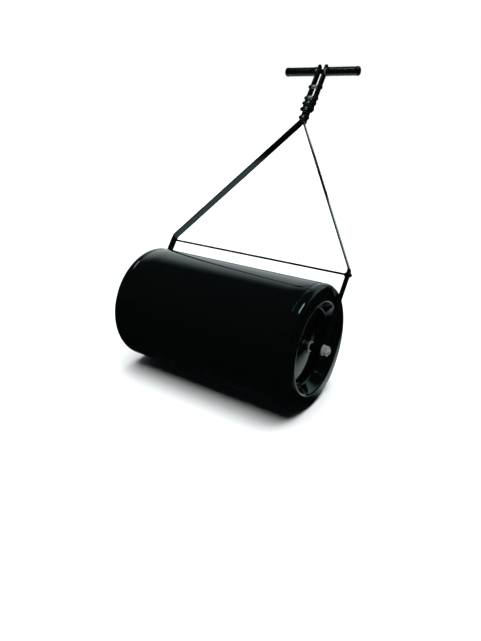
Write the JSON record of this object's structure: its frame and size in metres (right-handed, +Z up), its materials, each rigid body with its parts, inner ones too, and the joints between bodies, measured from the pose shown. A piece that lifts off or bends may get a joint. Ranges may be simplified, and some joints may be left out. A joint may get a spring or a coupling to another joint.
{
  "type": "lawn roller",
  "caption": "Water-filled steel lawn roller: hollow dish-ended drum turning on an axle, flat-bar push frame with tie rod, T handle with rubber grips.",
  "frame": {"origin": "on the ground, under the middle of the axle", "axes": "+Z up, +X the way the roller is pushed, +Y the left of the person who pushes"},
  "size_m": [0.7424, 0.6762, 0.9071],
  "materials": {
    "drum_enamel": "gloss black enamel on rolled and pressed steel",
    "frame_enamel": "semi-gloss black enamel on flat bar",
    "tube_steel": "black enamel on drawn tube",
    "zinc_plate": "bright zinc plate",
    "black_oxide": "oiled black oxide on steel fasteners",
    "bush_nylon": "moulded black nylon",
    "plug_plastic": "moulded black polypropylene",
    "gasket_rubber": "moulded rubber",
    "grip_rubber": "moulded black rubber, satin"
  },
  "bodies": {
    "frame": {"axle_rod": "zinc_plate", "thrust_washers": "zinc_plate", "spacer_sleeve_left": "frame_enamel", "spacer_sleeve_right": "frame_enamel", "axle_washers": "zinc_plate", "axle_nuts": "zinc_plate", "arm_left": "frame_enamel", "arm_right": "frame_enamel", "tie_rod": "frame_enamel", "tie_rod_washers": "black_oxide", "tie_rod_nuts": "black_oxide", "neck_rings": "zinc_plate", "strap_washers": "zinc_plate", "strap_left": "frame_enamel", "strap_right": "frame_enamel", "spacer_tube_lower": "zinc_plate", "spacer_tube_upper": "zinc_plate", "neck_bolts": "black_oxide", "neck_bolt_washers": "black_oxide", "neck_nuts": "black_oxide", "handle_bar": "frame_enamel", "bar_collars": "zinc_plate", "grip_left": "grip_rubber", "grip_right": "grip_rubber"},
    "drum": {"drum_shell": "drum_enamel", "drum_head_left": "drum_enamel", "drum_head_right": "drum_enamel", "axle_tube": "tube_steel", "bush_left": "bush_nylon", "bush_right": "bush_nylon", "fill_boss": "drum_enamel"},
    "plug_carrier": {"plug_gasket": "gasket_rubber"},
    "plug": {"fill_plug": "plug_plastic"}
  },
  "joints": [
    {"name": "drum_spin", "type": "hinge", "parent": "frame", "child": "drum", "pos_m": [0, 0, 0.1778], "axis": [0, 1, 0], "continuous": true},
    {"name": "plug_travel", "type": "slide", "parent": "drum", "child": "plug_carrier", "axis": [0, -1, 0], "range_m": [0, 0.013]},
    {"name": "plug_turn", "type": "hinge", "parent": "plug_carrier", "child": "plug", "pos_m": [0.05202, -0.285, 0.14138], "axis": [0, -1, 0], "range_deg": [0, 2020]}
  ],
  "couplings": [
    {"joint": "plug_travel", "follows": "plug_turn", "m_per_rad": 0.00036749}
  ]
}
